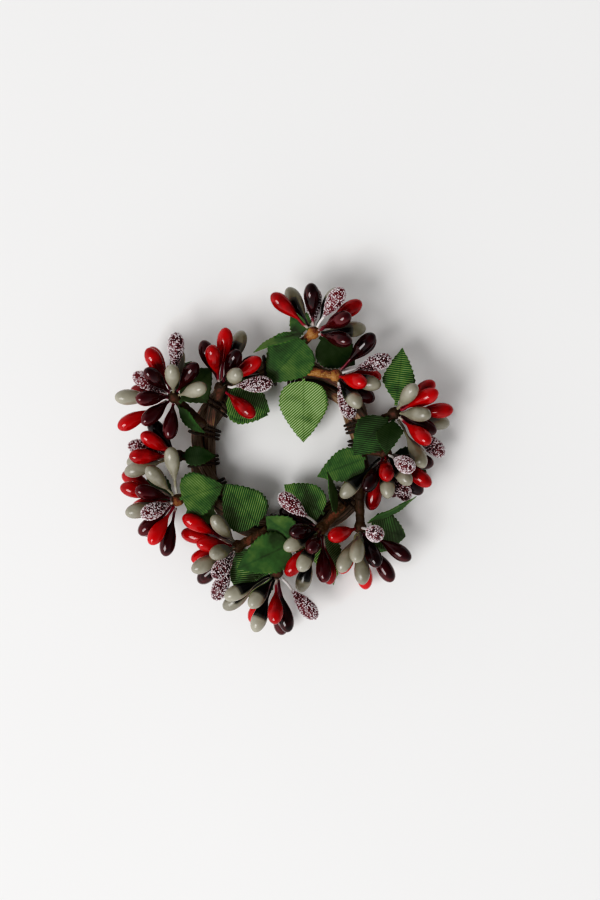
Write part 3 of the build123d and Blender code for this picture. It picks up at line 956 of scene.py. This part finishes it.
@dataclass
class Tube:
    """A round tube that is extruded ring by ring along a route."""

    route: Callable[[float], Vector]
    start: float
    end: float
    rings: int
    sides: int
    radius: Callable[[float, float], float]
    map_name: str = "strand"

    def build(self) -> bmesh.types.BMesh:
        """Makes the tube with closed ends and a map of its length and girth in millimetres.

        Returns:
            The tube in millimetres, in place.
        """
        shape = bmesh.new()
        turn = shape.verts.layers.float.new("turn")
        reach = shape.verts.layers.float.new("reach")
        ring = bmesh.ops.create_circle(shape, cap_ends=False, radius=1.0, segments=self.sides)["verts"]
        for corner in ring:
            corner[turn] = math.atan2(corner.co.y, corner.co.x)
        edges = list({edge for corner in ring for edge in corner.link_edges})
        step = (self.end - self.start) / self.rings
        across = Vector((0, 0, 1))
        gone, before = 0.0, self.route(self.start)
        first = ring
        for number in range(self.rings + 1):
            if number:
                made = bmesh.ops.extrude_edge_only(shape, edges=edges)["geom"]
                ring = [item for item in made if isinstance(item, bmesh.types.BMVert)]
                edges = [item for item in made if isinstance(item, bmesh.types.BMEdge)]
                edges = [edge for edge in edges if all(corner in ring for corner in edge.verts)]
            place = self.start + number * step
            centre = self.route(place)
            way = (self.route(place + step / 20) - self.route(place - step / 20)).normalized()
            across = (across - way * across.dot(way)).normalized()
            beside = way.cross(across)
            gone += (centre - before).length
            before = centre
            for corner in ring:
                angle = corner[turn]
                reach_out = self.radius(gone, angle)
                corner.co = centre + (across * math.cos(angle) + beside * math.sin(angle)) * reach_out
                corner[reach] = gone
        for loop_edges in (first, ring):
            rim = {edge for corner in loop_edges for edge in corner.link_edges if edge.is_boundary}
            bmesh.ops.holes_fill(shape, edges=list(rim), sides=0)
        bmesh.ops.recalc_face_normals(shape, faces=shape.faces)
        strand = shape.loops.layers.uv.new(self.map_name)
        for face in shape.faces:
            angles = [loop.vert[turn] for loop in face.loops]
            wraps = max(angles) - min(angles) > math.pi
            for loop in face.loops:
                angle = loop.vert[turn]
                girth = angle + math.tau if wraps and angle < 0 else angle
                loop[strand].uv = (loop.vert[reach], girth * self.radius(loop.vert[reach], angle))
        return shape


@dataclass
class VineHoop:
    """The twisted hoop of vine strands and the wire windings on it, as the CAD lays them."""

    hoop_radius: float = 27.0
    strand_radius: float = 2.0
    strand_gap: float = 0.3
    strands: int = 3
    twists: int = 3
    lap: float = 348.0
    wire_radius: float = 0.4
    winding_turns: float = 2.5
    winding_pitch: float = 1.55
    winding_clearance: float = 0.2
    resting_flat: float = 0.5
    bark_depth: float = 0.5
    bark_swell: float = 0.15
    fibre_length: float = 14.0
    strand_rings: int = 260
    strand_sides: int = 28
    rings_per_turn: int = 36
    wire_sides: int = 10

    def __post_init__(self) -> None:
        """Works out how far the strands and the wire lie from the hoop's centre line."""
        pitch = 2 * self.strand_radius + self.strand_gap
        self.strand_lay = pitch / (2 * math.sin(math.pi / self.strands))
        self.wire_lay = self.strand_lay + self.strand_radius + self.winding_clearance + self.wire_radius
        self.height = self.wire_lay + self.wire_radius - self.resting_flat

    def around(self, hoop_angle: float, lay_angle: float, lay: float) -> Vector:
        """Gives the point at a distance from the hoop's centre line, with both angles in degrees."""
        hoop, turn = math.radians(hoop_angle), math.radians(lay_angle)
        reach = self.hoop_radius + lay * math.cos(turn)
        return Vector((reach * math.cos(hoop), reach * math.sin(hoop), self.height + lay * math.sin(turn)))

    def bark_radius(self, seed: float) -> Callable[[float, float], float]:
        """Gives a strand's radius by length and angle: ridges cut into a slightly swollen strand."""

        def radius(gone: float, angle: float) -> float:
            """Gives the radius at a length and an angle."""
            fibre = Vector((gone / self.fibre_length, 2.2 * math.cos(angle), 2.2 * math.sin(angle) + seed))
            knobbly = Vector((gone / 5, 0.6 * math.cos(angle) + seed, 0.6 * math.sin(angle)))
            cut = 0.5 + 0.5 * noise.noise(fibre) + 0.35 * noise.noise(knobbly)
            return self.strand_radius + self.bark_swell - self.bark_depth * min(max(cut, 0.0), 1.0)

        return radius

    def strand_route(self, first: float) -> Callable[[float], Vector]:
        """Gives the centre line of the strand that starts at a hoop angle."""
        return lambda angle: self.around(first + angle, first + self.twists * angle, self.strand_lay)

    def wire_route(self, foot: float) -> Callable[[float], Vector]:
        """Gives the centre line of the winding that starts at a stem's foot."""
        advance = math.degrees(self.winding_pitch / self.hoop_radius) / 360
        return lambda turn: self.around(foot + advance * turn, 90 + turn, self.wire_lay)

    def wire_girth(self, gone: float, angle: float) -> float:
        """Gives the wire's radius by length and angle, with the laps of its paper."""
        return self.wire_radius * (1 - 0.08 * math.sin(6 * gone + angle))

    def build_strands(self, material: bpy.types.Material) -> None:
        """Makes the strands."""
        for number in range(self.strands):
            route = self.strand_route(360 / self.strands * number)
            bark = self.bark_radius(7.0 * number)
            tube = Tube(route, 0, self.lap, self.strand_rings, self.strand_sides, bark)
            node = f"vine_strand_{number + 1}"
            finish_piece(f"vine_{number + 1}", tube.build(), [material], node, "ring")

    def build_windings(self, feet: list[float], material: bpy.types.Material) -> None:
        """Makes the wire windings, flat where they rest on the table.

        Args:
            feet: The hoop angle of each stem's foot, in degrees.
            material: The wire's paper.
        """
        total = bmesh.new()
        turned = 360 * self.winding_turns
        rings = int(self.rings_per_turn * self.winding_turns)
        for foot in feet:
            tube = Tube(self.wire_route(foot), 0, turned, rings, self.wire_sides, self.wire_girth)
            shape = tube.build()
            for corner in shape.verts:
                corner.co.z = max(corner.co.z, 0.0)
            join_into(total, shape)
        finish_piece("windings", total, [material], "wire_windings", "ring")


@dataclass
class TapedStems:
    """The taped stems, each with its binding knot."""

    stem_radius: float = 1.7
    knot_radius: float = 2.3
    wrap_pitch: float = 2.6
    wrap_step: float = 0.22
    crumple: float = 0.3
    sides: int = 28
    rings: int = 46
    # How much painted shade each stem's tape gets: little for the lit stems, much for those in shade
    grime: dict[str, float] = field(
        default_factory=lambda: {
            "pick_01": 0.1,
            "pick_02": 0.0,
            "pick_06": 0.5,
            "pick_08": 0.55,
            "pick_09": 0.35,
        }
    )
    usual_painted_shade: float = 0.8

    def build(self, stems: dict[str, Stem], material: bpy.types.Material) -> None:
        """Makes a piece of all the stems.

        Args:
            stems: The foot and the knot of each pick's stem.
            material: The paper tape.
        """
        total = bmesh.new()
        grime = total.verts.layers.float.new("grime")
        for pick, (foot, knot) in stems.items():
            before = len(total.verts)
            join_into(total, self.stem(foot, knot, random.Random(f"stem {pick}")))
            total.verts.ensure_lookup_table()
            for corner in total.verts[before:]:
                corner[grime] = self.grime.get(pick, self.usual_painted_shade)
        finish_piece("tape_stems", total, [material], "taped_stems", "ring")

    def stem(self, foot: Vector, knot: Vector, draw: random.Random) -> bmesh.types.BMesh:
        """Makes one stem: laps of tape, a blunt torn foot and a lumpy knot.

        Args:
            foot: The middle of the foot's end.
            knot: The middle of the knot.
            draw: The stem's own random numbers.

        Returns:
            The stem in millimetres, in place.
        """
        way = knot - foot
        length = way.length
        top = length + self.knot_radius
        outline = [Vector((0, 0, 0)), Vector((0.7 * self.stem_radius, 0, 0.05))]
        for number in range(self.rings):
            z = 0.15 + (top - 0.2) * number / (self.rings - 1)
            ball = self.knot_radius**2 - (z - length) ** 2
            rod = self.stem_radius if z < length else 0.0
            outline.append(Vector((max(rod, math.sqrt(max(ball, 0.01))), 0, z)))
        outline.append(Vector((0, 0, top)))
        shape = revolve(outline, self.sides)
        seed = Vector((draw.uniform(0, 40), draw.uniform(0, 40), draw.uniform(0, 40)))
        for corner in shape.verts:
            angle = math.atan2(corner.co.y, corner.co.x)
            lap = (corner.co.z / self.wrap_pitch + angle / math.tau) % 1.0
            dent = self.wrap_step * lap + self.crumple * (0.5 + 0.5 * noise.noise(corner.co * 0.8 + seed))
            reach = math.hypot(corner.co.x, corner.co.y)
            if reach > 0.1:
                share = max(reach - dent, 0.1) / reach
                corner.co.x *= share
                corner.co.y *= share
        shape.transform(Matrix.Translation(foot) @ frame_along(way, draw.uniform(0, 6)))
        return shape


@dataclass
class Studio:
    """The pale table, the soft window light and the camera straight above."""

    table_half: float = 1.6
    table: str = "F4F3F2"
    table_shade: str = "F0EFEE"
    view_height: float = 0.65
    frame_height: float = 0.297
    object_height: float = 0.012
    view_x: float = 0.0056
    film: float = 36.0
    key_from: tuple[float, float, float] = (-0.86, -0.77, 1.5)
    key_size: float = 0.95
    key_power: float = 24.0
    horizon_strength: float = 1.0
    zenith_strength: float = 0.3
    window_side: float = 1.7
    far_side: float = 0.3
    tone_curve: tuple[tuple[float, float], ...] = (
        (0.0144, 0.0018),
        (0.0723, 0.0235),
        (0.262, 0.25),
        (0.76, 0.79),
    )
    tone_white: float = 0.93

    def build(self) -> None:
        """Makes the table, the light and the camera."""
        self.build_table()
        self.build_light()
        self.build_camera()

    def build_table(self) -> None:
        """Makes the table's painted top."""
        shape = bmesh.new()
        bmesh.ops.create_grid(shape, x_segments=4, y_segments=4, size=self.table_half)
        mesh = bpy.data.meshes.new("table_top")
        shape.to_mesh(mesh)
        shape.free()
        table = bpy.data.objects.new("table_top", mesh)
        bpy.context.scene.collection.objects.link(table)
        material, tree, shader = blank_material("matt white paint")
        cloud = cloudy(tree, object_place(tree), 9.0, 2.0)
        tree.links.new(blend(tree, cloud, self.table, self.table_shade), shader.inputs["Base Color"])
        shader.inputs["Roughness"].default_value = 0.75
        shader.inputs["Specular IOR Level"].default_value = 0.2
        mesh.materials.append(material)

    def build_light(self) -> None:
        """Makes the window at the lower left and the light of the room, which is brighter on that side."""
        lamp = bpy.data.lights.new("window", "AREA")
        lamp.shape = "SQUARE"
        lamp.size = self.key_size
        lamp.energy = self.key_power
        window = bpy.data.objects.new("window", lamp)
        window.location = self.key_from
        window.rotation_euler = Vector(self.key_from).to_track_quat("Z", "Y").to_euler()
        bpy.context.scene.collection.objects.link(window)
        world = bpy.data.worlds.new("room")
        bpy.context.scene.world = world
        world.use_nodes = True
        tree = world.node_tree
        way = add_node(tree, "ShaderNodeTexCoord").outputs["Generated"]
        rise = add_node(tree, "ShaderNodeSeparateXYZ", {0: way}).outputs["Z"]
        glow = ranged(tree, rise, 0.1, 1.0, self.horizon_strength, self.zenith_strength)
        towards = Vector((self.key_from[0], self.key_from[1], 0.0)).normalized()
        facing = add_node(
            tree, "ShaderNodeVectorMath", {0: way, 1: towards}, operation="DOT_PRODUCT"
        ).outputs["Value"]
        side = ranged(tree, facing, -1.0, 1.0, self.far_side, self.window_side)
        back = tree.nodes["Background"]
        back.inputs["Color"].default_value = linear("FFFFFF")
        tree.links.new(product(tree, glow, side), back.inputs["Strength"])

    def build_camera(self) -> None:
        """Makes the camera, whose frame is the photograph's, and its contrast."""
        lens = bpy.data.cameras.new("camera")
        lens.sensor_width = self.film
        lens.lens = self.film * self.view_height / self.frame_height
        camera = bpy.data.objects.new("camera", lens)
        camera.location = (self.view_x, 0.0, self.object_height + self.view_height)
        bpy.context.scene.collection.objects.link(camera)
        bpy.context.scene.camera = camera
        view = bpy.context.scene.view_settings
        view.view_transform = "Standard"
        view.use_curve_mapping = True
        curve = view.curve_mapping.curves[3]
        for place, level in self.tone_curve:
            curve.points.new(place, level)
        curve.points[-1].location = (1.0, self.tone_white)
        for point in curve.points:
            point.handle_type = "VECTOR"
        view.curve_mapping.update()


def read_stems(
    source: bpy.types.Object, knots: dict[str, Vector], knot_reach: float = 2.6
) -> dict[str, Stem]:
    """Reads each stem's foot and knot from the CAD.

    Args:
        source: The stems' CAD node.
        knots: The middle of each pick's knot.
        knot_reach: How far from its middle a knot ends and the bare stem starts.

    Returns:
        The foot and the knot of each pick's stem, in millimetres.
    """
    stems = {}
    for points in islands(source):
        middle = Vector(points.mean(axis=0))
        pick = min(knots, key=lambda name: (knots[name] - middle).length)
        knot = knots[pick]
        bare = points[np.linalg.norm(points - np.array(knot), axis=1) > knot_reach]
        way = (Vector(bare.mean(axis=0)) - knot).normalized()
        reach = float(((points - np.array(knot)) @ np.array(way)).max())
        stems[pick] = (knot + way * reach, knot)
    return stems


def main() -> None:
    """Builds the pieces in order; each piece logs its face count."""
    logging.basicConfig(level=logging.INFO, format="%(name)s %(message)s")
    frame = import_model()
    nodes = frame["nodes"]
    knots = {joint["child"]: Vector(joint["pos_m"]) / MM for joint in frame["joints"]}
    Studio().build()

    hoop = VineHoop()
    hoop.build_strands(BARK.material())
    stems = read_stems(nodes["taped_stems"], knots)
    feet = [math.degrees(math.atan2(foot.y, foot.x)) for foot, _ in stems.values()]
    hoop.build_windings(feet, SHADED_WIRE_PAPER.material())
    TapedStems().build(stems, STEM_TAPE.material())

    cloth = LEAF_CLOTH.material()
    for side in ("back", "right", "front", "left"):
        LeafSet(f"leaves_{side}").build(nodes[f"leaves_{side}"], list(stems.values()), cloth)

    coats = {
        Finish.RED: [RED_LACQUER.material()],
        Finish.BURGUNDY: [BURGUNDY_LACQUER.material()],
        Finish.SAGE: [SAGE_LACQUER.material()],
        Finish.FROSTED: [FROST_BASE.material(), GRIT.material()],
    }
    for pick, knot in knots.items():
        for finish in Finish:
            node = f"{pick}_{finish.value}_pips"
            if node in nodes:
                Spray(pick, finish, knot).build(nodes[node], coats)


if __name__ == "__main__":
    main()
